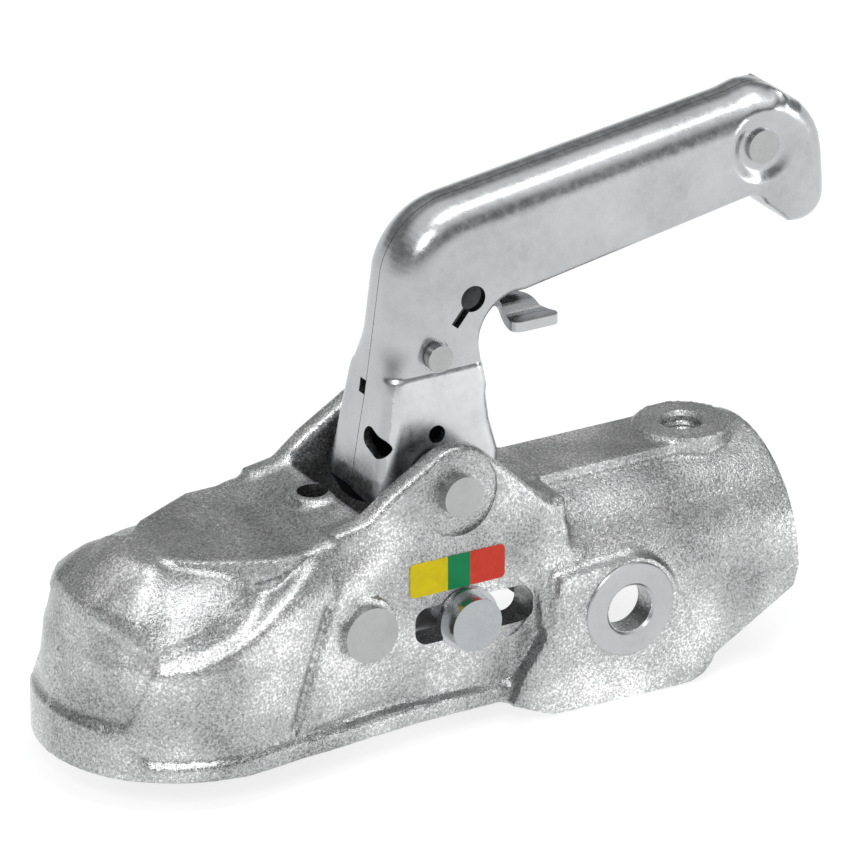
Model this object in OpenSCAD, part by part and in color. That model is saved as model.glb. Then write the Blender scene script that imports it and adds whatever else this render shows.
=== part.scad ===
// Trailer coupling head for a 50 mm ball and a 60 mm round drawbar.
// Origin: centre of the seated towing ball. +X points back to the trailer, +Z up.
// The shape is drawn at rest: lever closed, jaw closed, locking pin forward.

/* [Ball and nose] */
// diameter of the towing ball
ball_d = 50; // [48:0.5:52]
// play between ball and seat, on the radius
ball_play = 0.3; // [0.2:0.1:0.8]
// outer radius of the cup at the lip
lip_r = 45; // [44:0.5:48]
// underside of the cup lip, below the ball centre
rim_z = -13; // [-15:0.5:-10]
// top of the nose
nose_top = 47.4; // [45:0.2:50]

/* [Drawbar end] */
// diameter of the drawbar tube
tube_d = 60; // [58:0.5:61]
// play between tube and its seat, on the diameter
tube_play = 0.4; // [0.2:0.1:1]
// wall around the drawbar tube
tube_wall = 6.4; // [4:0.2:7]
// height of the tube axis
tube_z = 8; // [6:0.5:10]
// rear end of the head
end_x = 198; // [190:1:205]
// where the tube stops inside
stop_x = 116; // [114:1:120]
// place of the cross bolt
bolt_x = 135.9; // [132:0.1:138]
// diameter of the cross bolt hole
bolt_d = 15.2; // [14:0.1:16]
// place of the threaded hole on top
screw_x = 177; // [174:0.5:180]
// core diameter of the threaded hole
screw_d = 12; // [10:0.2:14]

/* [Pins] */
// lever pivot, along the body
pivot_x = 80; // [78:0.5:82]
// lever pivot, height
pivot_z = 56; // [55:0.5:58]
// diameter of the lever pivot pin
pivot_d = 13.2; // [12:0.2:14]
// jaw pin, along the body
jaw_x = 45.2; // [44:0.2:47]
// jaw pin, height
jaw_z = 20.5; // [18:0.5:21]
// diameter of the jaw pin
jaw_d = 17.8; // [16:0.2:18]
// locking pin at rest, along the body
lock_x = 82; // [80:0.5:84]
// locking pin, height
lock_z = 15; // [14:0.5:17]
// diameter of the locking pin
lock_d = 12; // [11:0.2:13]
// running play of a pivot, on the radius
run_play = 0.08; // [0.05:0.01:0.1]

/* [Lever] */
// half width of the grip
grip_w = 13; // [12:0.5:14]
// half width of the lever foot
foot_w = 16.5; // [16:0.5:17]
// sheet thickness of the lever halves
sheet = 2.6; // [2:0.1:3]
// how far the lever opens, degrees
open_angle = 55; // [40:1:58]
// how far the locking pin travels
lock_travel = 12; // [10:0.5:13]

/* [Hidden] */
$fn = 72;
// half width of the side panels, of the ears outside and of the ears inside
panel_y = 31;
ear_y = 30;
ear_in = 22.4;
ear_r = 14.8;
// half width of the inner channel beside the locking pin and beside the ball
channel_y = 21.2;
channel_nose_y = 27.5;
roof_z = 38;
seat_r = ball_d / 2 + ball_play;
bore_r = (tube_d + tube_play) / 2;
tube_r = bore_r + tube_wall;
flange_y = tube_r + 1.4;
ring_y = flange_y + 0.8;
ring_r = 15.3;
slot_h = lock_d + 0.2;
slot_r = 4.4;
slot_x0 = lock_x - 17.5;
slot_x1 = lock_x + 22.8;
pad_z = tube_z + tube_r + 1.5;
boss_z = pad_z + 1.1;
top_hole_x = 46.5;
pocket_r = 28.5;
// slide block and spring
hub_r = lock_d / 2 + 3;
block_back = lock_x + hub_r;
seat_x = stop_x - 4;
cam_rate = lock_travel / (open_angle * PI / 180);
cam_start = 4;
tab_x = pivot_x + cam_start + 0.35;
rivet_x = 81.7;
rivet_z = 94.5;
rivet_d = 8.6;
latch_r = 10.2;
latch_seat = 8.2;
cheek_y = 12.6;
grip_rivet_x = 197.6;
grip_rivet_z = 138.2;
clip_y = 36.3;
label_y = panel_y + 0.4;
label_x0 = 62.6;
label_x1 = 95.5;
label_z0 = 25.4;
label_z1 = 36.4;
// half width of the slide block, and of the jaw's tail
block_y = channel_y - 0.8;
// half width up to which the trigger's hub and spring reach, inside the lever
inner_w = grip_w - sheet;
spring_wire = 1.1;
spring_pitch = 1.3;
spring_y = inner_w - 1.2;
hub_w = spring_y - 2 * spring_pitch - spring_wire - 0.5;
// finger tab: its sheet, its top where it leaves the arm, and its outer edge
tab_sheet = 3.2;
tab_top = 104.2;
tab_drop = 4.8;
tab_edge = 14.5;
tab_bend = 5.5;
pin_end = 33.7;
washer_r = 9.6;
zinc = [0.78, 0.80, 0.82];
steel = [0.66, 0.68, 0.70];
dark = [0.45, 0.46, 0.48];

// a side view drawing (x, z), extruded across the body from y0 to y1
module side(y0, y1) {
    translate([0, y1, 0]) rotate([90, 0, 0]) linear_extrude(y1 - y0) children();
}

// a cross section drawing (y, z), extruded along the body from x0 to x1
module section(x0, x1) {
    translate([x0, 0, 0]) rotate([90, 0, 90]) linear_extrude(x1 - x0) children();
}

// a round bar across the body
module cross_bar(x, z, r, y0, y1) {
    translate([x, y1, z]) rotate([90, 0, 0]) cylinder(r = r, h = y1 - y0);
}

// a round bar along the body
module long_bar(x0, x1, z, r) {
    translate([x0, 0, z]) rotate([0, 90, 0]) cylinder(r = r, h = x1 - x0);
}

// the same on both sides of the middle plane
module both_sides() {
    children();
    mirror([0, 1, 0]) children();
}

function arc(cx, cy, r, a0, a1, n = 8) =
    [for (i = [0:n]) let (a = a0 + (a1 - a0) * i / n) [cx + r * cos(a), cy + r * sin(a)]];

function mirrored(points) =
    concat(points, [for (i = [len(points) - 1:-1:0]) [points[i][0], -points[i][1]]]);

function unit(v) = v / norm(v);

// the cast housing

// outer shape of the ball cup, turned about the ball's upright axis
cup_profile = concat([[0, rim_z], [lip_r - 2, rim_z]], arc(lip_r - 2, rim_z + 2, 2, -90, 0, 4),
    [[lip_r, 1.4], [lip_r - 1.2, 3.4], [42.6, 4.4]],
    arc(6.1, 8.8, 38.1, 25.2, 80, 10), [[0, nose_top]]);

// half width of the side walls, and of the rolled rim at their foot
wall_plan = [[-2, 42.3], [20, 38.9], [40, 34.9], [56, 31.7], [62, panel_y], [104, panel_y]];
rim_plan = [[-2, 44], [30, 40.6], [62, 35.6], [96, 33.2], [104, 34]];

body_profile = [[-4, rim_z], [-4, 14], [16, 32], [20, nose_top + 0.2], [42, 50.6], [52, 52.4],
    [98, 52.4], [112, pad_z], [118, pad_z], [118, -10], [96, -16]];

// the flat top of the nose widens backwards
top_plan = [[-10, 12], [-3, 18.2], [17.8, 28.8], [30, 29.4]];

body_section = mirrored([[-25, 46], [20, 46], [28, 41.5], [nose_top, 29.4], [60, 29.4]]);

ear_outline = concat([[38, 42], [38, 51], [48.5, 52.6], [57, 59.4]],
    arc(pivot_x, pivot_z, ear_r, 128, 48, 10), [[100, 57.5], [112, 46], [112, 40]]);

foot_outline = [[110, tube_z], [110, -21.5], [151, -22.6], [160, -21],
    [165.5, -15.8], [end_x - 3, 2.2], [end_x, tube_z]];

flange_outline = concat([[95, -15.7], [108, -21.5], [151, -22.6], [160, -21], [165.5, -15.8],
    [161, -7]], arc(bolt_x, tube_z - 1, ring_r + 2.2, 12, 78, 6),
    [[112, tube_z + 15], [109.5, tube_z + 4], [106, tube_z - 5], [99, tube_z - 15]]);

module cup() {
    rotate_extrude() polygon(cup_profile);
    translate([0, 0, 20]) linear_extrude(nose_top - 20) polygon(mirrored(top_plan));
}

module body_walls() {
    intersection() {
        side(-50, 50) polygon(body_profile);
        translate([0, 0, -25]) linear_extrude(90) polygon(mirrored(wall_plan));
        section(-5, 120) polygon([for (p = body_section) [p[1], p[0]]]);
    }
    // rear part of the channel walls, up to the tube seat
    side(-channel_y - 9.8, channel_y + 9.8)
        polygon([[100, -16], [100, 34], [108, 36], [118, 30], [118, -20], [108, -20]]);
}

module rolled_rim() {
    intersection() {
        side(-50, 50) polygon([[-2, rim_z], [-2, rim_z + 6], [96, -10], [104, -11], [104, -17], [96, -16]]);
        translate([0, 0, -25]) linear_extrude(40) polygon(mirrored(rim_plan));
    }
}

module ear() {
    side(-ear_y, -ear_in + 1) polygon(ear_outline);
}

module tube_end() {
    intersection() {
        union() {
            intersection() {
                long_bar(106, end_x, tube_z, tube_r);
                translate([90, -50, tube_z]) cube([120, 100, 50]);
            }
            side(-tube_r, tube_r) polygon(foot_outline);
        }
        // rounded rear edge
        translate([0, 0, tube_z]) rotate([0, 90, 0])
            rotate_extrude() polygon([[0, 90], [80, 90], [80, end_x - 30], [tube_r, end_x - 1.2],
                                      [tube_r - 1.2, end_x], [0, end_x]]);
    }
    // flat pad along the top, and the boss for the threaded hole
    translate([98, -12.5, tube_z + 20]) cube([screw_x - 98, 25, pad_z - tube_z - 20]);
    translate([screw_x, 0, tube_z + 20]) cylinder(r = 15, h = boss_z - tube_z - 20);
    both_sides() {
        side(-flange_y, -25) polygon(flange_outline);
        cross_bar(bolt_x, tube_z, ring_r, -ring_y, -flange_y + 1);
    }
}

module channel() {
    // seat for the ball, open below
    sphere(r = seat_r);
    translate([0, 0, -30]) cylinder(r = seat_r, h = 30);
    // channel for jaw and slide block
    translate([0, 0, -30]) linear_extrude(30 + roof_z)
        polygon(mirrored([[8, 25], [9, channel_nose_y], [34, channel_nose_y], [50, channel_y],
                          [stop_x + 1, channel_y]]));
    // seat of the drawbar tube, open below
    long_bar(stop_x, end_x + 5, tube_z, bore_r);
    translate([stop_x, -bore_r, -30]) cube([end_x, 2 * bore_r, 30 + tube_z]);
}

module lock_slot() {
    side(-60, 60) polygon(concat(
        arc(slot_x0 + slot_r, lock_z - slot_h / 2 + slot_r, slot_r, 270, 180, 6),
        arc(slot_x0 + slot_r, lock_z + slot_h / 2 - slot_r, slot_r, 180, 90, 6),
        arc(slot_x1 - slot_r, lock_z + slot_h / 2 - slot_r, slot_r, 90, 0, 6),
        arc(slot_x1 - slot_r, lock_z - slot_h / 2 + slot_r, slot_r, 0, -90, 6)));
}

module housing() {
    color(zinc) difference() {
        union() {
            cup();
            body_walls();
            rolled_rim();
            both_sides() ear();
            tube_end();
            // raised rim of the hole in front of the lever
            translate([top_hole_x, 0, 40]) cylinder(r = 7.6, h = 12.6);
        }
        channel();
        // room for the lever foot between the ears
        side(-ear_in, ear_in) difference() {
            translate([pivot_x, pivot_z]) circle(r = pocket_r);
            translate([0, -40]) square([200, 40 + 30]);
        }
        translate([pivot_x - 20, -ear_in, pivot_z]) cube([44, 2 * ear_in, 30]);
        translate([top_hole_x, 0, 30]) cylinder(r = 4.8, h = 30);
        lock_slot();
        cross_bar(pivot_x, pivot_z, pivot_d / 2, -60, 60);
        cross_bar(jaw_x, jaw_z, jaw_d / 2, -60, 60);
        // milled faces around the lever pivot pin
        both_sides() cross_bar(pivot_x, pivot_z, 13.6, -ear_y - 2, -ear_y + 0.6);
        // cross bolt and clamping screw
        cross_bar(bolt_x, tube_z, bolt_d / 2, -60, 60);
        translate([screw_x, 0, tube_z]) cylinder(r = screw_d / 2, h = 60);
        // arch in the far side wall, under the cross bolt
        translate([121, bore_r - 1, -40]) cube([28, 12, 40 - 9.4]);
    }
}

// the jaw and its pin

module ball_jaw() {
    color(steel) difference() {
        intersection() {
            side(-30, 30) polygon([[12, -8], [15, -10.5], [50, -10.5], [59.5, 3], [60.3, 10],
                                   [60.3, 21], [56, 30], [48, 34], [20, 34], [12, 27]]);
            translate([0, 0, -20]) linear_extrude(60)
                polygon(mirrored([[5, 24], [33, 24], [jaw_x, block_y], [64, block_y]]));
        }
        sphere(r = seat_r);
        cross_bar(jaw_x, jaw_z, jaw_d / 2 + run_play, -60, 60);
    }
}

module jaw_pin() {
    color(steel) difference() {
        cross_bar(jaw_x, jaw_z, jaw_d / 2, -39, 39);
        // groove for the circlip
        difference() {
            cross_bar(jaw_x, jaw_z, jaw_d / 2 + 1, clip_y, clip_y + 1.2);
            cross_bar(jaw_x, jaw_z, jaw_d / 2 - 1, clip_y - 1, clip_y + 2);
        }
    }
}

module jaw_circlip() {
    color(dark) difference() {
        cross_bar(jaw_x, jaw_z, jaw_d / 2 + 2, clip_y, clip_y + 1.2);
        cross_bar(jaw_x, jaw_z, jaw_d / 2 - 1, clip_y - 1, clip_y + 2);
        translate([jaw_x - 3, clip_y - 1, jaw_z - 20]) cube([6, 4, 20]);
    }
}

// the lever

// outline of the lever in the seam plane; the third number says how strongly the pressed edge is rounded
function edge(points, w) = [for (p = points) [p[0], p[1], w]];

lever_outline = concat(edge([[60, 50], [60.6, 57], [62.6, 69], [64.6, 80]], 0.4),
    edge([[66.2, 91], [68, 104]], 0.9), edge(arc(96, 113.4, 26.7, 165, 98, 7), 1),
    edge([[191.2, 153.5]], 1), edge(arc(199, 141.6, 13.6, 98, 45, 5), 0.9),
    edge([[215.4, 145.4], [219, 138], [220.4, 128]], 0.6), edge(arc(212, 118.8, 9, 5, -115, 5), 0.4),
    edge([[204.2, 114.6], [196, 121], [114, 108.4]], 0.3), edge(arc(112, 94.6, 14, 98, 195, 6), 0.3),
    edge([[101, 70], [103.4, 60], [103, 52]], 0.3), edge(arc(pivot_x, pivot_z, 20.5, -36, -140, 6), 0.3));

// the pressed edges are round: each layer is narrower by [across, along the outline]
round_steps = [[0, 7.5], [0.9, 5.1], [2.2, 3.1], [4.2, 1.3], [7, 0]];

// the outline made smaller by the rounding r and by d all round; the points run clockwise
function inset(p, r, d) = [for (i = [0:len(p) - 1])
    let (n = len(p), q = p[(i + n - 1) % n], s = p[(i + 1) % n],
         a = unit([p[i][0] - q[0], p[i][1] - q[1]]), b = unit([s[0] - p[i][0], s[1] - p[i][1]]),
         m = unit([a[1] + b[1], -a[0] - b[0]]), k = max(0.5, m[0] * a[1] - m[1] * a[0]))
    [p[i][0], p[i][1]] + m * (r * p[i][2] + d) / k];

// half section of the lever: flared below the crease
function lever_half(d, low, mid) = [[mid, low], [foot_w - d, low], [foot_w - d, 58],
    [grip_w - d, 88], [grip_w - d, 165], [mid, 165]];

// one half of the lever, made smaller all round by d; mid is where it ends near the middle plane
module lever_body(d, mid) {
    for (step = round_steps) intersection() {
        side(-foot_w, 2) polygon(inset(lever_outline, step[1], d));
        section(50, 235) polygon([for (p = lever_half(step[0] + d, 30 - d, mid)) [-p[0], p[1]]]);
    }
}

module lever_shell() {
    difference() {
        lever_body(0, 0.1);
        lever_body(sheet, -1);
        // open foot, and opening for the trigger behind the bend
        translate([50, -foot_w + sheet, 30]) cube([60, 20, 21]);
        translate([94, 1 - inner_w, 94]) cube([24.5, 20, 17]);
        cross_bar(pivot_x, pivot_z, pivot_d / 2 + run_play, -30, 5);
        cross_bar(rivet_x, rivet_z, rivet_d / 2, -30, 5);
        cross_bar(grip_rivet_x, grip_rivet_z, 3.5, -30, 5);
        // dimple at the end of the grip
        cross_bar(grip_rivet_x, grip_rivet_z, 7.6, -30, -grip_w + 1.6);
        // keyhole and sight hole
        cross_bar(95, 110, 4.2, -30, -grip_w + sheet + 0.5);
        translate([95, 0, 110]) rotate([0, 40, 0]) translate([-1.4, -30, -10])
            cube([2.8, 30 - grip_w + sheet + 0.5, 10]);
        cross_bar(81, 69.6, 2.8, -30, -grip_w + sheet + 0.5);
    }
}

// slanting slot in the front shoulder, seen along the body
module shoulder_slot() {
    translate([50, -9.2, 68.5]) rotate([16, 0, 0]) {
        for (y = [-2.9, 2.9]) translate([0, y, 0]) rotate([0, 90, 0]) cylinder(r = 3.3, h = 17);
        translate([0, -2.9, -3.3]) cube([17, 5.8, 6.6]);
    }
}

module lever_shell_near() {
    color(zinc) difference() {
        lever_shell();
        shoulder_slot();
    }
}

module lever_shell_far() {
    color(zinc) difference() {
        mirror([0, 1, 0]) lever_shell();
        // notch in the front edge, where this half folds inwards
        translate([60, -1, 80.3]) cube([8, 4.4, 4.5]);
    }
}

// the cam pushes the slide block back by the same amount for every degree of the lever
function cam_point(t) = let (a = t * open_angle, h = cam_start + lock_travel * t)
    [h * cos(a) - cam_rate * sin(a), -h * sin(a) - cam_rate * cos(a)];

module lever_cam() {
    r = pivot_d / 2 + 3.2;
    color(steel) difference() {
        union() {
            both_sides() translate([pivot_x, 0, pivot_z]) side(-cheek_y, -3.2) union() {
                circle(r = r);
                polygon(concat([for (i = [0:12]) cam_point(i / 12)],
                    [[-8, -17.5], [-13, -12], [-13, -2], [-6, 7], [4, -8.9]]));
            }
            // bridge between the two cheeks, in front of the latch disc
            translate([pivot_x - 13, -4, pivot_z - 12]) cube([2, 8, 10]);
        }
        cross_bar(pivot_x, pivot_z, pivot_d / 2 + run_play, -30, 30);
        translate([pivot_x, 0, pivot_z]) side(-3.2, 3.2) circle(r = latch_r + 0.6);
    }
}

module lever_pivot_pin() {
    color(steel) cross_bar(pivot_x, pivot_z, pivot_d / 2, -pin_end, pin_end);
}

module pivot_washer() {
    difference() {
        cross_bar(pivot_x, pivot_z, washer_r, -ear_in, -foot_w - 0.3);
        cross_bar(pivot_x, pivot_z, pivot_d / 2, -30, 0);
    }
}

module pivot_washer_near() {
    color(dark) pivot_washer();
}

module pivot_washer_far() {
    color(dark) mirror([0, 1, 0]) pivot_washer();
}

// a fixed disc with a shoulder: the trigger's tooth stands in its recess and swings along it with the lever
module latch_disc() {
    color(dark) difference() {
        cross_bar(pivot_x, pivot_z, latch_r, -2.8, 2.8);
        cross_bar(pivot_x, pivot_z, pivot_d / 2, -5, 5);
        translate([pivot_x, 0, pivot_z]) side(-5, 5) polygon(concat(
            arc(0, 0, latch_seat, -3, open_angle + 27, 12),
            arc(0, 0, latch_r + 3, open_angle + 27, -3, 12)));
    }
}

module bend_rivet() {
    color(steel) cross_bar(rivet_x, rivet_z, rivet_d / 2, -grip_w - 3.8, grip_w + 3.8);
}

module grip_rivet() {
    color(steel) union() {
        cross_bar(grip_rivet_x, grip_rivet_z, 3.5, -grip_w + 1, grip_w - 1);
        both_sides() cross_bar(grip_rivet_x, grip_rivet_z, 5.4, -grip_w + 0.2, -grip_w + 1.6);
    }
}

module grip_spacer() {
    color(dark) difference() {
        cross_bar(grip_rivet_x, grip_rivet_z, 5.6, -grip_w + sheet + 1.6, grip_w - sheet - 1.6);
        cross_bar(grip_rivet_x, grip_rivet_z, 3.5, -20, 20);
    }
}

// the trigger

// side view of the trigger: hub round the bend rivet, arm to the finger tab, pawl down to the latch disc
trigger_arm = [[78, 98.5], [84, 100.6], [91, 104], [95, 110.4], [107, 110.4], [111, tab_top], [117, tab_top],
    [117, tab_top - tab_sheet], [109, tab_top - tab_sheet], [101, 98.4], [95, 95], [90.5, 90], [91.6, 80], [94.6, 70],
    [96, 64], [96.2, 60], [94.4, 57], [88.6, 55.9], [87.9, 59.4], [91.6, 60.1], [91.2, 63],
    [90.4, 70], [87.4, 80], [86.5, 87.5], [78, 90]];

// cross section of the finger tab: one bend down from the arm, one back to level, out towards the near side
tab_turn = acos(1 - tab_drop / (2 * tab_bend));
tab_y = 2 * tab_bend * sin(tab_turn) - 12.6;
tab_c0 = [tab_y, tab_top - tab_bend];
tab_c1 = [tab_y - 2 * tab_bend * sin(tab_turn), tab_top - tab_drop + tab_bend];
tab_section = concat([[2.4, tab_top]], arc(tab_c0[0], tab_c0[1], tab_bend, 90, 90 + tab_turn, 6),
    arc(tab_c1[0], tab_c1[1], tab_bend, tab_turn - 90, -90, 6),
    [[-tab_edge, tab_top - tab_drop], [-tab_edge, tab_top - tab_drop - tab_sheet]],
    arc(tab_c1[0], tab_c1[1], tab_bend + tab_sheet, -90, tab_turn - 90, 6),
    arc(tab_c0[0], tab_c0[1], tab_bend - tab_sheet, 90 + tab_turn, 90, 6), [[2.4, tab_top - tab_sheet]]);

tab_plan = concat([[108.5, 2.4]], arc(111.5, 3 - tab_edge, 3, 180, 270, 4),
    arc(122.4, 2.2 - tab_edge, 2.2, 270, 380, 5), [[120.7, -8.6], [117, -3], [117, 2.4]]);

module release_trigger() {
    color(zinc) difference() {
        union() {
            side(-2.4, 2.4) polygon(trigger_arm);
            cross_bar(rivet_x, rivet_z, 6.6, -hub_w, hub_w);
            intersection() {
                section(100, 130) polygon(tab_section);
                translate([0, 0, 80]) linear_extrude(40) polygon(tab_plan);
            }
        }
        cross_bar(rivet_x, rivet_z, rivet_d / 2 + run_play, -30, 30);
    }
}

module trigger_spring() {
    color(dark) for (i = [0:2]) difference() {
        y = spring_pitch * i - spring_y;
        cross_bar(rivet_x, rivet_z, 6.2, y, y + spring_wire);
        cross_bar(rivet_x, rivet_z, 4.9, -grip_w, 0);
    }
}

// the locking slide

module slide_block() {
    color(steel) difference() {
        union() {
            cross_bar(lock_x, lock_z, hub_r, -block_y, block_y);
            side(-block_y, block_y) polygon([[61, 11], [61, 19], [70, 21], [lock_x, lock_z + hub_r],
                [block_back, lock_z + hub_r], [block_back, lock_z - hub_r],
                [lock_x, lock_z - hub_r], [70, 9]]);
            side(-12, 12) polygon([[tab_x, lock_z + 4], [tab_x, pivot_z - 10.2],
                [block_back - 2, pivot_z - 10.2], [block_back - 2, lock_z + 4]]);
        }
        cross_bar(lock_x, lock_z, lock_d / 2, -60, 60);
        long_bar(block_back - 2, block_back + 5, lock_z, 4);
    }
}

module lock_pin() {
    color(steel) union() {
        cross_bar(lock_x, lock_z, lock_d / 2, -36, 36);
        both_sides() cross_bar(lock_x, lock_z, lock_d / 2 + 2.45, -38.4, -33.4);
    }
}

module lock_washer() {
    difference() {
        cross_bar(lock_x, lock_z, 10, -33.4, -panel_y - 0.3);
        cross_bar(lock_x, lock_z, lock_d / 2, -40, 0);
    }
}

module lock_washer_near() {
    color(zinc) lock_washer();
}

module lock_washer_far() {
    color(zinc) mirror([0, 1, 0]) lock_washer();
}

module spring_guide() {
    color(steel) long_bar(block_back - 2, stop_x - 0.5, lock_z, 4);
}

module spring_seat() {
    color(dark) difference() {
        translate([seat_x, -8.6, lock_z - 8]) cube([3, 17.2, roof_z - lock_z + 8]);
        long_bar(seat_x - 5, seat_x + 8, lock_z, 4.6);
    }
}

// a coil of straight stretches round the guide
module closing_spring() {
    turns = 4;
    steps = 12;
    wire = 1.7;
    mean = 6.4;
    x0 = block_back + wire / 2;
    rise = (seat_x - block_back - wire) / (turns * steps);
    color(dark) for (i = [0:turns * steps - 1]) {
        a = [x0 + rise * i, mean * cos(i * 360 / steps), lock_z + mean * sin(i * 360 / steps)];
        b = [x0 + rise * (i + 1), mean * cos((i + 1) * 360 / steps),
             lock_z + mean * sin((i + 1) * 360 / steps)];
        d = b - a;
        translate(a - d * 0.06) rotate([0, acos(d[2] / norm(d)), atan2(d[1], d[0])])
            cylinder(r = wire / 2, h = norm(d) * 1.12, $fn = 8);
    }
}

module indicator_label() {
    color("gold") side(-label_y, -panel_y)
        polygon([[label_x0, label_z0], [label_x0, label_z1], [label_x1, label_z1], [label_x1, label_z0]]);
}

housing();
ball_jaw();
jaw_pin();
jaw_circlip();
lever_shell_near();
lever_shell_far();
lever_cam();
lever_pivot_pin();
pivot_washer_near();
pivot_washer_far();
bend_rivet();
grip_rivet();
grip_spacer();
release_trigger();
trigger_spring();
latch_disc();
slide_block();
lock_pin();
lock_washer_near();
lock_washer_far();
spring_guide();
closing_spring();
spring_seat();
indicator_label();
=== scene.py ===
import math
import bmesh
import bpy
import numpy as np
from mathutils import Matrix, Vector


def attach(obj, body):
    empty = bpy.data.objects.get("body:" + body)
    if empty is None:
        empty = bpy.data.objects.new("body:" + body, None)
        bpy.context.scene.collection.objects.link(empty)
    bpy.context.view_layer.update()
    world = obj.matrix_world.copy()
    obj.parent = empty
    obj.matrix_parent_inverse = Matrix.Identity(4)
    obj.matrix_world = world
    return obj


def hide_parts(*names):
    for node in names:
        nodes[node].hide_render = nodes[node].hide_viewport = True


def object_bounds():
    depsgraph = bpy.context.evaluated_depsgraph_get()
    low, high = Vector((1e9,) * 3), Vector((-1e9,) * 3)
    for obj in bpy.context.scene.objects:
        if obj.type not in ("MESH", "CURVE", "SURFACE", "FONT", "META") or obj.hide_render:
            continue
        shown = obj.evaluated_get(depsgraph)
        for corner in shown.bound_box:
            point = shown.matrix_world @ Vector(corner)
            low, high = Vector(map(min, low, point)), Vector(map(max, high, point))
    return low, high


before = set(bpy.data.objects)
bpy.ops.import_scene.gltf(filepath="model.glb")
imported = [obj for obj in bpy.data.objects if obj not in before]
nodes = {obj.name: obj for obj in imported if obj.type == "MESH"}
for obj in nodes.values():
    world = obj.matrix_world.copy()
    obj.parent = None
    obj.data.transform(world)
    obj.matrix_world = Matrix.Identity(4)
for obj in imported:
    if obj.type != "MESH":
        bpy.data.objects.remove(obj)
cad_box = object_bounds()
MM = 0.001
COARSE = 1.0

# sizes, in millimetres, as in the CAD
NOSE_TOP = 47.4
RIM_Z = -13.0
TUBE_Z, BORE_R, TUBE_R = 8.0, 30.2, 36.6
FLANGE_Y, RING_Y, RING_R = 38.0, 38.8, 15.3
END_X, STOP_X = 198.0, 116.0
PAD_Z, BOSS_Z, SCREW_X = 46.1, 47.2, 177.0
BOLT_X, BOLT_R = 135.9, 7.6
PIVOT = (80.0, 56.0)
JAW = (45.2, 20.5)
LOCK = (82.0, 15.0)
SLOT_X0, SLOT_X1, SLOT_H, SLOT_R = 64.5, 104.8, 12.2, 4.4
PANEL_Y = 31.0
GRIP_W, FOOT_W, SHEET = 13.0, 16.5, 2.6
RIVET = (81.7, 94.5)
GRIP_RIVET = (197.6, 138.2)


# signed distances on arrays
def arc(cx, cy, r, a0, a1, n=10):
    return [(cx + r * math.cos(math.radians(a0 + (a1 - a0) * i / n)),
             cy + r * math.sin(math.radians(a0 + (a1 - a0) * i / n))) for i in range(n + 1)]


def poly(u, v, pts):
    """signed distance to a closed polygon, negative inside"""
    u, v = np.broadcast_arrays(u, v)
    best = np.full(u.shape, 1e12)
    sign = np.ones(u.shape)
    n = len(pts)
    for i in range(n):
        ax, ay = pts[i]
        bx, by = pts[i - 1]
        ex, ey = bx - ax, by - ay
        if ex * ex + ey * ey < 1e-9:
            continue
        wx, wy = u - ax, v - ay
        t = np.clip((wx * ex + wy * ey) / (ex * ex + ey * ey), 0, 1)
        dx, dy = wx - ex * t, wy - ey * t
        best = np.minimum(best, dx * dx + dy * dy)
        c1, c2, c3 = v >= ay, v < by, ex * wy > ey * wx
        flip = (c1 & c2 & c3) | (~c1 & ~c2 & ~c3)
        sign = np.where(flip, -sign, sign)
    return sign * np.sqrt(best)


def line_dist(u, v, pts):
    """distance to an open run of points"""
    best = 1e12
    for (ax, ay), (bx, by) in zip(pts[:-1], pts[1:]):
        ex, ey = bx - ax, by - ay
        if ex * ex + ey * ey < 1e-9:
            continue
        t = np.clip(((u - ax) * ex + (v - ay) * ey) / (ex * ex + ey * ey), 0, 1)
        best = np.minimum(best, (u - ax - ex * t) ** 2 + (v - ay - ey * t) ** 2)
    return np.sqrt(best)


def both(a, b, r):
    """two slabs crossed, with the edge between them rounded"""
    p, q = a + r, b + r
    return np.hypot(np.maximum(p, 0), np.maximum(q, 0)) + np.minimum(np.maximum(p, q), 0) - r


def join(a, b, k):
    h = np.maximum(k - np.abs(a - b), 0) / k
    return np.minimum(a, b) - h * h * k * 0.25


def meet(a, b, k):
    return -join(-a, -b, k)


def smooth(e0, e1, x):
    t = np.clip((x - e0) / (e1 - e0), 0, 1)
    return t * t * (3 - 2 * t)


def band(v, lo, hi):
    return np.abs(v - (lo + hi) / 2) - (hi - lo) / 2


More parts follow.
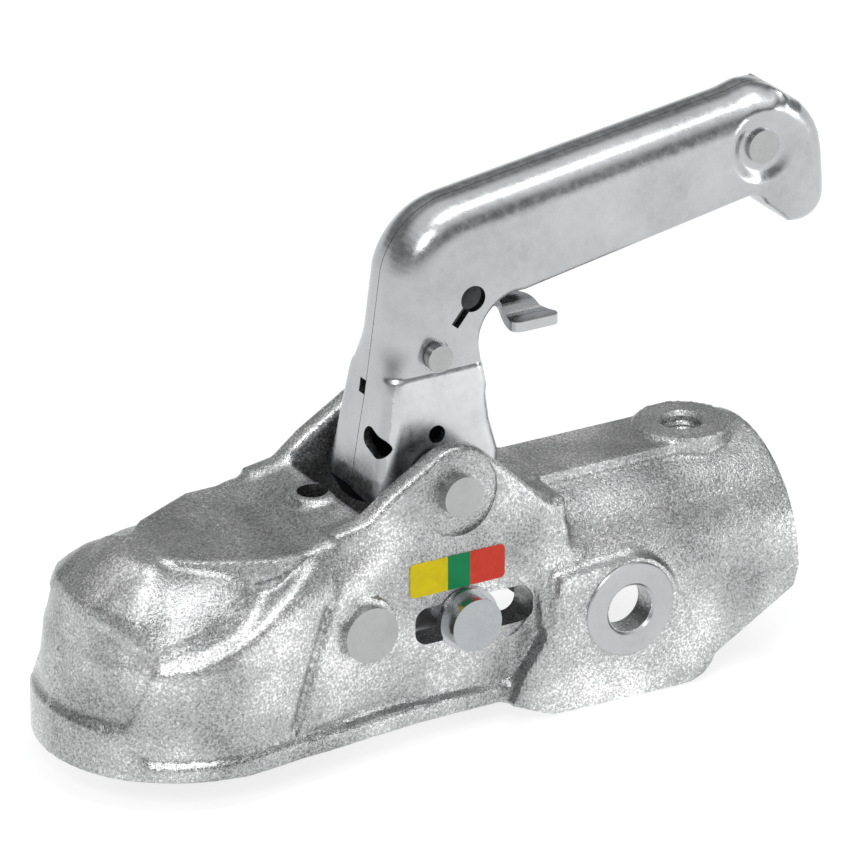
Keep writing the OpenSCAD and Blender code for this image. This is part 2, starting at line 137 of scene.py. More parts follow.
# meshes from distances
def surface(fun, lo, hi, h):
    """quads where fun is zero, with each vertex moved onto the surface"""
    ax = [np.arange(lo[i], hi[i] + h, h) for i in range(3)]
    F = fun(ax[0][:, None, None], ax[1][None, :, None], ax[2][None, None, :]).astype(np.float32)
    inside = F < 0
    nx, ny, nz = F.shape
    count = np.zeros((nx - 1, ny - 1, nz - 1), np.int8)
    for a in (0, 1):
        for b in (0, 1):
            for c in (0, 1):
                count += inside[a:nx - 1 + a, b:ny - 1 + b, c:nz - 1 + c]
    active = (count > 0) & (count < 8)
    cells = np.argwhere(active)
    index = np.full(active.shape, -1, np.int64)
    index[active] = np.arange(len(cells))
    corners = np.array([(a, b, c) for a in (0, 1) for b in (0, 1) for c in (0, 1)])
    val = np.stack([F[cells[:, 0] + a, cells[:, 1] + b, cells[:, 2] + c] for a, b, c in corners], 1)
    total = np.zeros((len(cells), 3))
    hits = np.zeros(len(cells))
    for i in range(8):
        for j in range(i + 1, 8):
            if np.abs(corners[i] - corners[j]).sum() != 1:
                continue
            cross = (val[:, i] < 0) != (val[:, j] < 0)
            t = np.where(cross, val[:, i] / np.where(cross, val[:, i] - val[:, j], 1), 0)
            p = corners[i] + t[:, None] * (corners[j] - corners[i])
            total += np.where(cross[:, None], p, 0)
            hits += cross
    co = (cells + total / hits[:, None]) * h + np.array([a[0] for a in ax])
    quads = []
    for axis in range(3):
        o1, o2 = [(1, 2), (2, 0), (0, 1)][axis]
        a = [slice(None)] * 3
        b = [slice(None)] * 3
        a[axis], b[axis] = slice(0, -1), slice(1, None)
        one, two = inside[tuple(a)], inside[tuple(b)]
        for state in (True, False):
            e = np.argwhere((one == state) & (two != state))
            e = e[(e[:, o1] > 0) & (e[:, o1] < F.shape[o1] - 1)]
            e = e[(e[:, o2] > 0) & (e[:, o2] < F.shape[o2] - 1)]
            ring = []
            for d1, d2 in ((-1, -1), (0, -1), (0, 0), (-1, 0)):
                c = e.copy()
                c[:, o1] += d1
                c[:, o2] += d2
                ring.append(index[c[:, 0], c[:, 1], c[:, 2]])
            q = np.stack(ring, 1)
            quads.append(q if state else q[:, ::-1])
    quads = np.concatenate(quads)
    quads = quads[(quads >= 0).all(1)]
    for _ in range(3):
        f0 = fun(co[:, 0], co[:, 1], co[:, 2])
        g = np.stack([fun(*(co + 0.05 * np.eye(3)[i]).T) - f0 for i in range(3)], 1) / 0.05
        step = np.clip(f0 / np.maximum((g * g).sum(1), 0.2), -0.5 * h, 0.5 * h)
        co = co - step[:, None] * g
    return co, quads


def mesh_object(name, co, faces, scale=MM):
    me = bpy.data.meshes.new(name)
    me.from_pydata((np.asarray(co, float) * scale).tolist(), [], [list(map(int, f)) for f in faces])
    me.update()
    ob = bpy.data.objects.new(name, me)
    bpy.context.scene.collection.objects.link(ob)
    return ob


def prism(pts, axis, a, b):
    """solid from a closed outline, drawn in XZ (axis 1), XY (axis 2) or YZ (axis 0)"""
    n = len(pts)
    area = sum(pts[i - 1][0] * pts[i][1] - pts[i][0] * pts[i - 1][1] for i in range(n))
    if area < 0:
        pts = pts[::-1]
    put = {0: lambda u, v, w: (w, u, v), 1: lambda u, v, w: (u, w, v), 2: lambda u, v, w: (u, v, w)}[axis]
    co = [put(u, v, a) for u, v in pts] + [put(u, v, b) for u, v in pts]
    faces = [list(range(n))[::-1], list(range(n, 2 * n))]
    faces += [[i, (i + 1) % n, n + (i + 1) % n, n + i] for i in range(n)]
    if axis == 1:
        faces = [f[::-1] for f in faces]
    return co, faces


def turned(profile, origin, axis, steps=96):
    """solid of revolution; profile is (radius, along), from one end on the axis to the other"""
    o = np.array(origin, float)
    d = np.array(axis, float)
    e1 = np.cross(d, (0.0, 0.0, 1.0) if abs(d[2]) < 0.9 else (1.0, 0.0, 0.0))
    e1 /= np.linalg.norm(e1)
    e2 = np.cross(d, e1)
    co, rings, faces = [], [], []
    for r, t in profile:
        if r < 1e-6:
            rings.append([len(co)])
            co.append(o + d * t)
        else:
            rings.append(list(range(len(co), len(co) + steps)))
            for i in range(steps):
                a = 2 * math.pi * i / steps
                co.append(o + d * t + r * (math.cos(a) * e1 + math.sin(a) * e2))
    for p, q in zip(rings[:-1], rings[1:]):
        for i in range(steps):
            j = (i + 1) % steps
            if len(p) == 1 and len(q) > 1:
                faces.append([p[0], q[j], q[i]])
            elif len(q) == 1 and len(p) > 1:
                faces.append([p[i], p[j], q[0]])
            elif len(p) > 1:
                faces.append([p[i], p[j], q[j], q[i]])
    return co, faces


def rod(x, z, r, y0, y1, steps=96):
    return turned([(0, y0), (r, y0), (r, y1), (0, y1)], (x, 0, z), (0, 1, 0), steps)


def cut(ob, solids, operation="DIFFERENCE"):
    """crisp cuts: all the solids are taken off in one go"""
    col = bpy.data.collections.new("cut")
    made = []
    for i, (co, faces) in enumerate(solids):
        c = mesh_object("cutter", co, faces)
        bm = bmesh.new()
        bm.from_mesh(c.data)
        bmesh.ops.recalc_face_normals(bm, faces=bm.faces)
        bm.to_mesh(c.data)
        bm.free()
        col.objects.link(c)
        made.append(c)
    m = ob.modifiers.new("cut", "BOOLEAN")
    m.operation = operation
    m.operand_type = "COLLECTION"
    m.collection = col
    m.solver = "EXACT"
    bpy.context.view_layer.update()
    dg = bpy.context.evaluated_depsgraph_get()
    me = bpy.data.meshes.new_from_object(ob.evaluated_get(dg))
    ob.modifiers.clear()
    old = ob.data
    ob.data = me
    me.name = old.name if old.users == 0 else ob.name
    bpy.data.meshes.remove(old)
    for c in made:
        d = c.data
        bpy.data.objects.remove(c)
        bpy.data.meshes.remove(d)
    bpy.data.collections.remove(col)
    return ob


def soften(ob, angle=32):
    """smooth shading, sharp only where faces meet at more than angle"""
    me = ob.data
    me.shade_smooth()
    me.set_sharp_from_angle(angle=math.radians(angle))


# materials
def material(name):
    m = bpy.data.materials.new(name)
    m.use_nodes = True
    nt = m.node_tree
    return m, nt, nt.nodes["Principled BSDF"]


def node(nt, kind, **kw):
    n = nt.nodes.new(kind)
    for k, v in kw.items():
        if k in n.inputs.keys():
            n.inputs[k].default_value = v
        else:
            setattr(n, k, v)
    return n


def ramp(nt, fac, stops):
    r = nt.nodes.new("ShaderNodeValToRGB")
    while len(r.color_ramp.elements) > 1:
        r.color_ramp.elements.remove(r.color_ramp.elements[-1])
    for i, (p, c) in enumerate(stops):
        e = r.color_ramp.elements[0] if i == 0 else r.color_ramp.elements.new(p)
        e.position = p
        e.color = (c, c, c, 1) if not isinstance(c, tuple) else (*c, 1)
    nt.links.new(fac, r.inputs[0])
    return r


def noise(nt, scale, detail=3.0, rough=0.55, stretch=None):
    tc = nt.nodes.new("ShaderNodeTexCoord")
    src = tc.outputs["Object"]
    if stretch:
        mp = nt.nodes.new("ShaderNodeMapping")
        mp.inputs["Scale"].default_value = stretch
        nt.links.new(src, mp.inputs["Vector"])
        src = mp.outputs[0]
    n = nt.nodes.new("ShaderNodeTexNoise")
    n.inputs["Scale"].default_value = scale
    n.inputs["Detail"].default_value = detail
    n.inputs["Roughness"].default_value = rough
    nt.links.new(src, n.inputs["Vector"])
    return n


def link_range(nt, value, lo, hi, out, frm=(0.3, 0.7)):
    r = nt.nodes.new("ShaderNodeMapRange")
    for k, v in (("From Min", frm[0]), ("From Max", frm[1]), ("To Min", lo), ("To Max", hi)):
        r.inputs[k].default_value = v
    nt.links.new(value, r.inputs["Value"])
    nt.links.new(r.outputs[0], out)


def bump_chain(nt, bsdf, layers):
    """layers of (height, strength, distance), one on top of the other"""
    last = None
    for height, strength, distance in layers:
        b = node(nt, "ShaderNodeBump", Strength=strength, Distance=distance)
        nt.links.new(height, b.inputs["Height"])
        if last:
            nt.links.new(last.outputs[0], b.inputs["Normal"])
        last = b
    nt.links.new(last.outputs[0], bsdf.inputs["Normal"])


def blend_maps(nt, a, b, share):
    m = node(nt, "ShaderNodeMath", operation="MULTIPLY")
    nt.links.new(b, m.inputs[0])
    m.inputs[1].default_value = 1 - share
    out = node(nt, "ShaderNodeMath", operation="MULTIPLY_ADD")
    nt.links.new(a, out.inputs[0])
    out.inputs[1].default_value = share
    nt.links.new(m.outputs[0], out.inputs[2])
    return out.outputs[0]


def cast_metal(name, base=(0.55, 0.557, 0.56)):
    """galvanised casting: cloudy large patches under a coarse sparkle"""
    m, nt, b = material(name)
    b.inputs["Metallic"].default_value = 1.0
    cloud = noise(nt, 34, 3, 0.5)
    grain = noise(nt, 1150, 2, 0.5)
    speck = noise(nt, 2900, 1, 0.5)
    streak = noise(nt, 700, 3, 0.6, (1, 1, 0.12))
    tone = blend_maps(nt, grain.outputs["Fac"], speck.outputs["Fac"], 0.5)
    tone = blend_maps(nt, tone, cloud.outputs["Fac"], 0.62)
    col = ramp(nt, tone, [(0.38, tuple(c * 0.35 for c in base)), (0.47, tuple(c * 0.80 for c in base)),
                          (0.54, base), (0.60, tuple(min(1, c * 1.9) for c in base))])
    nt.links.new(col.outputs[0], b.inputs["Base Color"])
    link_range(nt, speck.outputs["Fac"], 0.20, 0.40, b.inputs["Roughness"])
    bump_chain(nt, b, [(cloud.outputs["Fac"], 0.35, 0.0012), (streak.outputs["Fac"], 0.22, 0.0002),
                       (grain.outputs["Fac"], 0.62, 0.00028), (speck.outputs["Fac"], 0.7, 0.00016)])
    return m


def sheet_metal(name, base=(0.50, 0.51, 0.52), rough=(0.2, 0.34), brush=(1, 1, 1), bump=0.25):
    """zinc plated or turned metal: faint stains and a fine grain"""
    m, nt, b = material(name)
    b.inputs["Metallic"].default_value = 1.0
    big = noise(nt, 38, 4, 0.6)
    fine = noise(nt, 420, 4, 0.6, brush)
    tone = blend_maps(nt, big.outputs["Fac"], fine.outputs["Fac"], 0.7)
    col = ramp(nt, tone, [(0.34, tuple(c * 0.84 for c in base)), (0.52, base),
                          (0.68, tuple(min(1, c * 1.1) for c in base))])
    nt.links.new(col.outputs[0], b.inputs["Base Color"])
    link_range(nt, fine.outputs["Fac"], rough[0], rough[1], b.inputs["Roughness"])
    bump_chain(nt, b, [(big.outputs["Fac"], 0.12, 0.001), (fine.outputs["Fac"], bump, 0.00008)])
    return m


def paint(ob, mat):
    ob.data.materials.clear()
    ob.data.materials.append(mat)


CAST = cast_metal("cast_zinc")
SMOOTH_CAST = sheet_metal("machined_zinc", (0.50, 0.505, 0.51), (0.25, 0.4), bump=0.3)
ZINC = sheet_metal("sheet_zinc")
# lighter copy of the sheet zinc: painted light on the flat side faces of the lever foot
ZINC_PAINTED_LIGHT = sheet_metal("sheet_zinc_painted_light", (0.66, 0.67, 0.68), (0.24, 0.36))
PIN = sheet_metal("pin_zinc", (0.43, 0.437, 0.435), (0.22, 0.34), bump=0.5)
LOCK_PIN = sheet_metal("lock_pin_zinc", (0.42, 0.435, 0.45), (0.2, 0.32), bump=0.5)
STEEL = sheet_metal("steel", (0.50, 0.505, 0.51), (0.3, 0.45))
DARK = sheet_metal("dark_steel", (0.12, 0.125, 0.13), (0.35, 0.5))
# near-black copy of the zinc: painted shade on the inner faces of the lever shells and on the trigger's arm
SHADE_INSIDE = sheet_metal("painted_shade_inside", (0.10, 0.105, 0.11), (0.5, 0.7))


# the housing
wall_plan = [(-2, 42.3), (20, 38.9), (40, 34.9), (56, 31.7), (62, 31), (118, 31)]
rim_plan = [(-2, 44), (30, 40.6), (62, 35.6), (96, 33.2), (104, 34)]
ear_outline = [(38, 36), (38, 50.9), (48.5, 52.6), (57, 59.4)] + arc(80, 56, 14.8, 128, 48, 12) + \
    [(100, 57.5), (112, 46), (112, 36)]
flange_outline = [(95, -15.7), (108, -21.5), (151, -22.6), (158.5, -22.2), (163, -20.3), (166, -17),
                  (166.6, -14), (161, -7)] + arc(BOLT_X, 7, 17.5, 12, 78, 8) + \
    [(112, 23), (109.5, 12), (106, 3), (99, -7)]
foot_outline = [(110, 8), (110, -21.5), (151, -22.6), (158.5, -22.2), (163, -20.3), (166.5, -16.4),
                (196, 1.0), (198, 8)]
# how high the side walls reach in front of the lever, and where the step in them runs
wall_top = [(-48, -12), (-48, 21.5), (-26, 22), (-17, 24.2), (3, 30.2), (18, 38.2), (25, 43), (33, 48.4),
            (42, 50.6), (52, 52.4), (98, 52.4), (112, 46), (118, 46), (118, -12), (96, -15.5)]
STEP_LINE = ((19.5, -3.8), (33.6, 33.0))


def cup_shape(x, y, z, ay):
    """dome over the ball, with a flat forehead, on an upright wall with a lip"""
    R = np.hypot(x, y)
    turn = np.degrees(np.arctan2(ay, -x))
    side = smooth(35, 60, turn)
    dome = poly(R + 1.2 * side, z, [(0, -13), (41.2, -13), (41.0, 12), (40.6, 25)]
                + arc(6.1, 8.8, 38.1, 26, 80, 14) + [(0, NOSE_TOP)])
    dome = meet(dome, 0.6625 * z - 0.75 * x - 46.2, 1.6)
    face = poly(R, z, [(0, -13), (42.4, -13), (42.4, 5), (40.4, 20.5), (38.7, 28.3), (37.2, 34), (36, 36.6),
                       (33.6, 38.8), (28, 43), (22, 46.8), (20, NOSE_TOP), (0, NOSE_TOP)])
    dome = face + (dome - face) * smooth(36, 60, turn)
    front = 1 - smooth(38, 54, turn)
    wall = 42.4 + 2.4 * front * (1 - smooth(-3, 14, z))
    wall = both(R - wall, band(z, RIM_Z, 24 - 19 * front), 3.4)
    lip_top = np.interp(turn, [0, 30, 50, 180], [2.6, 2.6, -7, -7])
    lip = both(R - 45 + 0.5 * (1 - front), band(z, RIM_Z, lip_top), 1.5)
    return join(join(dome, wall, 1.2), lip, 1.4)


def wall_shape(x, y, z, ay):
    """side walls, narrowing backwards, with sloping shoulders and a step"""
    half = np.interp(x, [p[0] for p in wall_plan], [p[1] for p in wall_plan])
    r = 42.3 - 2.3 * smooth(2, 22, -x)
    half = np.where(x < -2, np.sqrt(np.maximum(r * r - x * x, 0.01)), half)
    (x0, z0), (x1, z1) = STEP_LINE
    run = math.hypot(x1 - x0, z1 - z0)
    s = ((x - x0) * (z1 - z0) - (z - z0) * (x1 - x0)) / run
    half = half + 1.3 * smooth(-0.8, 0.8, s) * (1 - smooth(6, 26, s)) * smooth(-9, -4, z)
    groove = smooth(-6, -3, z) * (1 - smooth(31, 34, z))
    half = half - 1.3 * groove * np.exp(-((s + 1.3) / 1.5) ** 2)
    slope = (ay - 29.4) * 0.848 + (z - NOSE_TOP) * 0.529
    return meet(meet(poly(x, z, wall_top), ay - half, 3.0), slope, 3.0)


def housing_shape(x, y, z):
    ay = np.abs(y)
    d = cup_shape(x, y, z, ay)
    # flat top of the nose
    top = both(poly(x, ay, [(-11, -30), (-11, 11), (-3, 18.2), (17.8, 28.6), (60, 29.2), (60, -30)]),
               band(z, 20, NOSE_TOP), 1.2)
    d = join(d, top, 1.6)
    d = join(d, wall_shape(x, y, z, ay), 2.4)
    # rolled rim at the foot of the walls
    rim_half = np.interp(x, [p[0] for p in rim_plan], [p[1] for p in rim_plan])
    rim_low = np.interp(x, [-2, 96, 104], [-13, -16, -17])
    rim = both(both(ay - rim_half, band(z, rim_low, rim_low + 6.2), 1.8), band(x, -2, 104), 1.0)
    d = join(d, rim, 1.6)
    # rear part of the channel walls
    back = both(poly(x, z, [(98, -16), (98, 34), (108, 38), (118, 36), (118, -20), (108, -20)]), ay - 31, 2)
    d = join(d, back, 3)
    # tube end
    tr = np.hypot(y, z - TUBE_Z)
    tube = both(tr - TUBE_R, band(x, 106, END_X), 1.4)
    tube = np.maximum(tube, TUBE_Z - 0.5 - z)
    tube = join(tube, both(poly(x, z, foot_outline), ay - TUBE_R, 0.8), 1.0)
    d = join(d, tube, 4.0)
    pad = both(both(ay - 12.5, band(x, 96, SCREW_X), 1.0), band(z, 20, PAD_Z), 0.8)
    d = join(d, pad, 1.6)
    boss = both(np.hypot(x - SCREW_X, y) - 15, band(z, 20, BOSS_Z), 0.5)
    d = join(d, boss, 1.2)
    # side flanges
    fl = both(poly(x, z, flange_outline), band(ay, 24, FLANGE_Y), 1.2)
    d = join(d, fl, 2.4)
    # low collar round the jaw pin
    d = join(d, both(np.hypot(x - JAW[0], z - JAW[1]) - 10.6, band(ay, 30, 35.4), 0.9), 1.0)
    # ears
    ear = both(poly(x, z, ear_outline), band(ay, 22.4, 30.0), 2.2)
    d = join(d, ear, 2.6)
    # collar of the hole in front of the lever
    col = both(np.hypot(x - 46.5, y) - 7.6, band(z, 40, 52.6), 1.4)
    d = join(d, col, 2.0)
    # rough raised part of the dome, with a crisp lower edge
    edge = np.interp(x, [-42, -35, -25.7, 9, 23.5, 27], [36, 33, 27, 38.8, 44, 46])
    raised = smooth(-0.5, 0.5, z - edge) * (1 - smooth(42.5, 46, z))
    raised = raised * (1 - smooth(22, 27, x)) * smooth(10, 17, ay)
    d = d - 0.8 * raised
    # room for the lever foot
    pocket = both(np.hypot(x - PIVOT[0], z - PIVOT[1]) - 28.5, ay - 22.4, 3.0)
    d = meet(d, -np.maximum(pocket, 30 - z), 2.0)
    # nothing stands out past the lip, the feet of the flanges or their faces
    d = meet(d, np.where(x < 0, np.hypot(x, y) - 44.9, ay - 44.9), 0.5)
    return meet(d, -22.5 - z, 0.5)


def build_housing():
    co, quads = surface(housing_shape, (-48, -47.5, -26), (201, 47.5, 74), 1.15 * COARSE)
    ob = mesh_object("housing_casting", co, quads)
    channel = [(8, -25), (9, -27.5), (34, -27.5), (50, -21.2), (117, -21.2),
               (117, 21.2), (50, 21.2), (34, 27.5), (9, 27.5), (8, 25)]
    slot = []
    left, right, low = SLOT_X0 + SLOT_R, SLOT_X1 - SLOT_R, SLOT_R - SLOT_H / 2
    for cx, cz, a0 in ((left, low, 270), (left, -low, 180), (right, -low, 90), (right, low, 0)):
        slot += arc(cx, LOCK[1] + cz, SLOT_R, a0, a0 - 90, 8)
    # the washers of the lock pin slide on a flat field
    washer_path = arc(LOCK[0], LOCK[1], 10.4, 270, 90, 24) + arc(LOCK[0] + 12.1, LOCK[1], 10.4, 90, -90, 24)
    thread = [(6.0 + 0.7 * (i % 2), 36.9 + i) for i in range(9)]
    sph = [(25.3 * math.sin(math.pi * i / 40), -25.3 * math.cos(math.pi * i / 40)) for i in range(41)]
    sph[0] = (0, -25.3)
    sph[-1] = (0, 25.3)
    solids = [
        turned(sph, (0, 0, 0), (0, 0, 1), 80),
        turned([(0, -30), (25.3, -30), (25.3, 0.5), (0, 0.5)], (0, 0, 0), (0, 0, 1), 80),
        prism(channel, 2, -30, 36),
        prism([(x, 0.92 * y) for x, y in channel], 2, 30, 38),
        turned([(0, STOP_X), (BORE_R, STOP_X), (BORE_R, 205), (0, 205)], (0, 0, TUBE_Z), (1, 0, 0), 128),
        prism([(-BORE_R, -30), (BORE_R, -30), (BORE_R, TUBE_Z), (-BORE_R, TUBE_Z)], 0, STOP_X, 205),
        prism(slot, 1, -60, 60),
        rod(PIVOT[0], PIVOT[1], 6.6, -60, 60),
        rod(PIVOT[0], PIVOT[1], 13.6, -40, -29.4),
        rod(PIVOT[0], PIVOT[1], 13.6, 29.4, 40),
        rod(JAW[0], JAW[1], 8.9, -60, 60),
        rod(BOLT_X, TUBE_Z, BOLT_R, -60, 60),
        turned([(0, 20), (6, 20)] + thread + [(6, 45.9), (7.6, 47.5), (7.6, 60), (0, 60)],
               (SCREW_X, 0, 0), (0, 0, 1)),
        turned([(0, 20), (4.8, 20), (4.8, 60), (0, 60)], (46.5, 0, 0), (0, 0, 1)),
        prism(washer_path, 1, -60, -PANEL_Y),
        prism(washer_path, 1, PANEL_Y, 60),
        prism([(121, -40), (149, -40), (149, -9.4), (121, -9.4)], 1, BORE_R - 1, 41.2),
    ]
    cut(ob, solids)
    soften(ob, 30)
    paint(ob, CAST)
    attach(ob, "head")
    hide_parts("housing")
    return ob


def build_ring(side):
    """turned face round the cross bolt"""
    section = [(BOLT_R, -36.0), (BOLT_R, -37.9), (8.5, -RING_Y), (14.9, -RING_Y), (RING_R, -38.4),
               (RING_R, -36.0), (BOLT_R, -36.0)]
    co, faces = turned(section, (BOLT_X, 0, TUBE_Z), (0, 1, 0), 128)
    co = [(p[0], p[1] * side, p[2]) for p in co]
    ob = mesh_object("bolt_face_near" if side > 0 else "bolt_face_far", co, faces)
    bm = bmesh.new()
    bm.from_mesh(ob.data)
    bmesh.ops.remove_doubles(bm, verts=bm.verts, dist=1e-7)
    bmesh.ops.recalc_face_normals(bm, faces=bm.faces)
    bm.to_mesh(ob.data)
    bm.free()
    soften(ob, 30)
    paint(ob, SMOOTH_CAST)
    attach(ob, "head")


# the lever
top_run = [(60, 40), (60, 50), (60.6, 57), (62.6, 69), (64.6, 80), (66.2, 91), (68, 104)] + \
    arc(96, 113.4, 26.7, 165, 98, 14) + [(191.2, 153.5)] + arc(199, 141.6, 13.6, 98, 66, 6)
end_run = arc(199, 141.6, 13.6, 66, 45, 4) + [(212.6, 148.7), (215.4, 145.4), (217.6, 142), (219.2, 138),
                                              (220.1, 133), (220.5, 128), (220.9, 123)] + \
    arc(212, 118.8, 9, 5, -115, 12)
low_run = [(208.2, 110.7), (204.2, 114.6), (199.4, 118.6)] + arc(193.6, 115.9, 6.4, 30, 101, 5) + \
    [(114, 108.4)] + arc(112, 94.6, 14, 98, 195, 12) + [(100, 80)]
foot_run = [(100, 80), (101, 70), (103.4, 60), (103, 52)] + arc(80, 56, 20.5, -36, -140, 12)


def lever_outer(x, y, z):
    ay = np.abs(y)
    d2 = poly(x, z, top_run[1:] + end_run + low_run + foot_run)
    total = weights = 0
    top_r = 5.0 + 6.0 * smooth(84, 100, z)
    for run, r in ((top_run, top_r), (end_run, 5.6), (low_run, 2.6), (foot_run, 4.6)):
        w = 1 / (line_dist(x, z, run) + 0.6) ** 4
        total, weights = total + w * r, weights + w
    r = total / weights
    half = FOOT_W - (FOOT_W - GRIP_W) * np.clip((z - 58) / 30, 0, 1)
    half = half + 0.7 * (1 - smooth(87.6, 88.9, z)) * smooth(60, 80, z)
    dim = np.hypot(x - GRIP_RIVET[0], z - GRIP_RIVET[1])
    half = half - 1.7 * (1 - smooth(7.2, 12.4, dim))
    return both(d2, ay - half, r)


def lever_shape(x, y, z):
    o = lever_outer(x, y, z)
    return np.maximum(o, -(o + SHEET))


def lever_half(name):
    co, quads = surface(lever_shape, (57, -18, 33), (223, 1.0, 157), 0.72 * COARSE)
    ob = mesh_object(name, co, quads)
    bm = bmesh.new()
    bm.from_mesh(ob.data)
    geom = bm.verts[:] + bm.edges[:] + bm.faces[:]
    bmesh.ops.bisect_plane(bm, geom=geom, plane_co=(0, -0.12 * MM, 0), plane_no=(0, 1, 0), clear_outer=True)
    edges = [e for e in bm.edges if e.is_boundary]
    bmesh.ops.holes_fill(bm, edges=edges, sides=0)
    bmesh.ops.triangulate(bm, faces=[f for f in bm.faces if len(f.verts) > 4])
    bm.to_mesh(ob.data)
    bm.free()
    return ob


def lever_cuts():
    c, q = math.cos(math.radians(40)), math.sin(math.radians(40))
    key = [(95 + a * 1.4 * c - b * q, 110 - a * 1.4 * q - b * c)
           for a, b in ((-1, 0), (1, 0), (1, 10), (-1, 10))]
    return [
        prism([(50, 30), (110, 30), (110, 51), (50, 51)], 1, -14.0, 5),
        prism([(94, 94), (118.5, 94), (118.5, 111), (94, 111)], 1, -9.4, 5),
        rod(PIVOT[0], PIVOT[1], 6.7, -30, 5),
        rod(RIVET[0], RIVET[1], 4.3, -30, 5),
        rod(GRIP_RIVET[0], GRIP_RIVET[1], 3.5, -30, 5),
        rod(RIVET[0], RIVET[1], 5.0, -30, -12.4),
        rod(GRIP_RIVET[0], GRIP_RIVET[1], 4.5, -30, -10.8),
        rod(95, 110, 4.2, -30, -9),
        prism(key, 1, -30, -9),
        rod(81, 69.6, 2.8, -30, -9),
    ]


def shoulder_slot():
    a = math.radians(16)
    flat = arc(2.9, 0, 3.3, -90, 90, 10) + arc(-2.9, 0, 3.3, 90, 270, 10)
    c, q = math.cos(a), math.sin(a)
    pts = [(-9.2 + u * c - v * q, 68.5 + u * q + v * c) for u, v in flat]
    return prism(pts, 0, 50, 67)


def build_lever():
    near = lever_half("lever_half_near")
    far = bpy.data.objects.new("lever_half_far", near.data.copy())
    bpy.context.scene.collection.objects.link(far)
    cut(near, lever_cuts() + [shoulder_slot()])
    # the far half has no slot, but a notch at its front edge; it is drawn mirrored here
    cut(far, lever_cuts() + [prism([(58, 80.3), (68, 80.3), (68, 84.8), (58, 84.8)], 1, -3.4, 5)])
    far.data.transform(Matrix.Scale(-1, 4, (0, 1, 0)))
    far.data.flip_normals()
    for ob, node_name in ((near, "lever_shell_near"), (far, "lever_shell_far")):
        soften(ob, 30)
        ob.data.materials.clear()
        ob.data.materials.append(ZINC)
        ob.data.materials.append(SHADE_INSIDE)
        ob.data.materials.append(ZINC_PAINTED_LIGHT)
        # inner faces of the sheet get the near-black painted shade; flat side faces below the crease, picked
        # by facing sideways, get the lighter painted light
        centre = np.array([f.center for f in ob.data.polygons]) / MM
        inner = lever_outer(*centre.T) < -0.7 * SHEET
        for f, c, i in zip(ob.data.polygons, centre, inner):
            lit_face = abs(f.normal.y) > 0.8 and c[2] < 88.2 and abs(c[1]) > 12
            f.material_index = 1 if i else 2 * int(lit_face)
        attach(ob, "lever")
        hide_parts(node_name)


build_housing()
build_ring(1)
build_ring(-1)
build_lever()

# carried-over nodes
edged = ("jaw_pin", "lever_pivot_pin", "bend_rivet", "grip_rivet", "lock_pin", "lock_washer_near",
         "lock_washer_far")
finish = {"jaw_pin": PIN, "lever_pivot_pin": PIN, "bend_rivet": PIN, "grip_rivet": PIN, "lock_pin": LOCK_PIN,
          "lock_washer_near": ZINC, "lock_washer_far": ZINC, "release_trigger": ZINC, "ball_jaw": STEEL,
          "slide_block": STEEL, "lever_cam": STEEL, "spring_guide": STEEL}
for name, ob in nodes.items():
    if name in ("housing", "lever_shell_near", "lever_shell_far", "indicator_label"):
        continue
    paint(ob, finish.get(name, DARK))
    if name == "release_trigger":
        # its front arm, in the dark cavity of the housing, gets the near-black painted shade
        ob.data.materials.append(SHADE_INSIDE)
        for f in ob.data.polygons:
            f.material_index = int(f.center.x < 0.103)
    soften(ob, 30)
    if name in edged:
        bv = ob.modifiers.new("edge", "BEVEL")
        bv.width = 0.8 * MM
        bv.segments = 3
        bv.limit_method = "ANGLE"
        bv.angle_limit = math.radians(50)
        bv.harden_normals = True


# indicator strip: three plain fields
def flat_colour(name, rgb):
    m, nt, b = material(name)
    n = noise(nt, 260, 3, 0.6)
    c = ramp(nt, n.outputs["Fac"], [(0.3, tuple(v * 0.9 for v in rgb)),
                                    (0.7, tuple(min(1, v * 1.06) for v in rgb))])
    nt.links.new(c.outputs[0], b.inputs["Base Color"])
    b.inputs["Roughness"].default_value = 0.32
    b.inputs["Specular IOR Level"].default_value = 0.2
    bp = node(nt, "ShaderNodeBump", Strength=0.08, Distance=0.0001)
    nt.links.new(n.outputs["Fac"], bp.inputs["Height"])
    nt.links.new(bp.outputs[0], b.inputs["Normal"])
    return m


def round_rect(x0, z0, x1, z1, corners, r=1.6):
    pts = []
    for cx, cz, a0, key in ((x0 + r, z0 + r, 180, 0), (x1 - r, z0 + r, 270, 1),
                            (x1 - r, z1 - r, 0, 2), (x0 + r, z1 - r, 90, 3)):
        if key in corners:
            pts += arc(cx, cz, r, a0, a0 + 90, 6)
        else:
            pts.append(((x0, x1, x1, x0)[key], (z0, z0, z1, z1)[key]))
    return pts


for name, rgb, x0, x1, corners in (("strip_yellow", (0.93, 0.74, 0.015), 62.6, 75.6, (0, 3)),
                                   ("strip_green", (0.008, 0.28, 0.10), 75.6, 83.4, ()),
                                   ("strip_red", (0.82, 0.07, 0.04), 83.4, 95.5, (1, 2))):
    co, faces = prism(round_rect(x0, 25.4, x1, 36.4, corners), 1, -31.38, -30.9)
    ob = mesh_object(name, co, faces)
    bm = bmesh.new()
    bm.from_mesh(ob.data)
    bmesh.ops.recalc_face_normals(bm, faces=bm.faces)
    bm.to_mesh(ob.data)
    bm.free()
    paint(ob, flat_colour(name, rgb))
    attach(ob, "head")
    if name == "strip_yellow":
        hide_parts("indicator_label")


# floor, light, camera
def link(nt, a, b):
    nt.links.new(a, b)


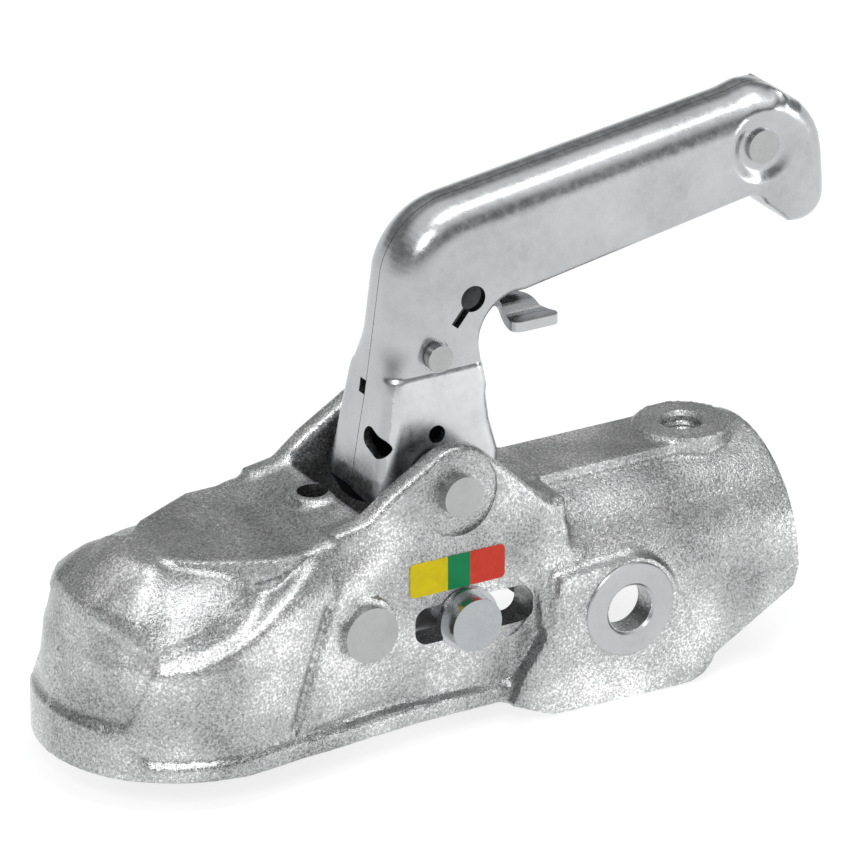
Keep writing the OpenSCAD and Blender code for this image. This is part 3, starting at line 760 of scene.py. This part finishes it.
def backdrop_rays(nt):
    """1 for camera, glossy and transmission rays, which all see the same backdrop"""
    lp = nt.nodes.new("ShaderNodeLightPath")
    a = node(nt, "ShaderNodeMath", operation="MAXIMUM")
    link(nt, lp.outputs["Is Glossy Ray"], a.inputs[0])
    link(nt, lp.outputs["Is Transmission Ray"], a.inputs[1])
    b = node(nt, "ShaderNodeMath", operation="MAXIMUM")
    link(nt, lp.outputs["Is Camera Ray"], b.inputs[0])
    link(nt, a.outputs[0], b.inputs[1])
    return b.outputs[0]


def build_world():
    """soft light, and a white backdrop with a grey band half way up"""
    world = bpy.data.worlds.new("studio")
    bpy.context.scene.world = world
    world.use_nodes = True
    nt = world.node_tree
    plain = nt.nodes["Background"]
    plain.inputs["Color"].default_value = (0.80, 0.81, 0.82, 1)
    plain.inputs["Strength"].default_value = 0.6
    tc = nt.nodes.new("ShaderNodeTexCoord")
    sep = nt.nodes.new("ShaderNodeSeparateXYZ")
    link(nt, tc.outputs["Generated"], sep.inputs[0])
    shade = ramp(nt, sep.outputs["Z"], [(0.0, 1.0), (0.12, 0.85), (0.25, 0.22), (0.58, 0.22), (0.80, 1.0)])
    studio = nt.nodes.new("ShaderNodeBackground")
    link(nt, shade.outputs[0], studio.inputs["Color"])
    mix = nt.nodes.new("ShaderNodeMixShader")
    link(nt, backdrop_rays(nt), mix.inputs[0])
    link(nt, plain.outputs[0], mix.inputs[1])
    link(nt, studio.outputs[0], mix.inputs[2])
    link(nt, mix.outputs[0], nt.nodes["World Output"].inputs["Surface"])


def build_floor():
    """white floor that keeps the shadow of the object"""
    reach = 1500
    corners = [(-reach, -reach, 0), (reach, -reach, 0), (reach, reach, 0), (-reach, reach, 0)]
    ob = mesh_object("floor", corners, [[0, 1, 2, 3]])
    ob.location.z = cad_box[0][2] - 0.0004
    m, nt, b = material("floor_white")
    b.inputs["Base Color"].default_value = (0.4, 0.4, 0.4, 1)
    b.inputs["Roughness"].default_value = 0.9
    b.inputs["Specular IOR Level"].default_value = 0.0
    glow = nt.nodes.new("ShaderNodeEmission")
    level = node(nt, "ShaderNodeMath", operation="MULTIPLY")
    link(nt, backdrop_rays(nt), level.inputs[0])
    level.inputs[1].default_value = 0.75
    link(nt, level.outputs[0], glow.inputs["Strength"])
    add = nt.nodes.new("ShaderNodeAddShader")
    link(nt, b.outputs[0], add.inputs[0])
    link(nt, glow.outputs[0], add.inputs[1])
    link(nt, add.outputs[0], nt.nodes["Material Output"].inputs["Surface"])
    paint(ob, m)


build_world()
build_floor()


def area_light(name, loc, size, power, target=(0.085, 0, 0.05)):
    ld = bpy.data.lights.new(name, "AREA")
    ld.shape = "RECTANGLE"
    ld.size, ld.size_y = size
    ld.energy = power
    ob = bpy.data.objects.new(name, ld)
    bpy.context.scene.collection.objects.link(ob)
    ob.location = loc
    ob.rotation_euler = (Vector(target) - Vector(loc)).to_track_quat("-Z", "Y").to_euler()


area_light("key", (-0.8, -1.0, 1.3), (0.5, 0.5), 7)
area_light("top", (0.2, -0.3, 1.7), (0.9, 0.5), 7)
area_light("side", (1.2, -1.1, 0.35), (0.3, 0.7), 3)

az, el, dist = math.radians(-30), math.radians(24), 2.8
cam_data = bpy.data.cameras.new("camera")
cam = bpy.data.objects.new("camera", cam_data)
bpy.context.scene.collection.objects.link(cam)
back = Vector((math.sin(az) * math.cos(el), -math.cos(az) * math.cos(el), math.sin(el)))
target = Vector((0.0868, 0, 0.0644))
cam.location = target + back * dist
cam.rotation_euler = (-back).to_track_quat("-Z", "Y").to_euler()
cam_data.sensor_width = 36
cam_data.lens = 388.6
cam_data.clip_start = 0.05
cam_data.clip_end = 20
bpy.context.scene.camera = cam
bpy.context.scene.view_settings.view_transform = "Standard"
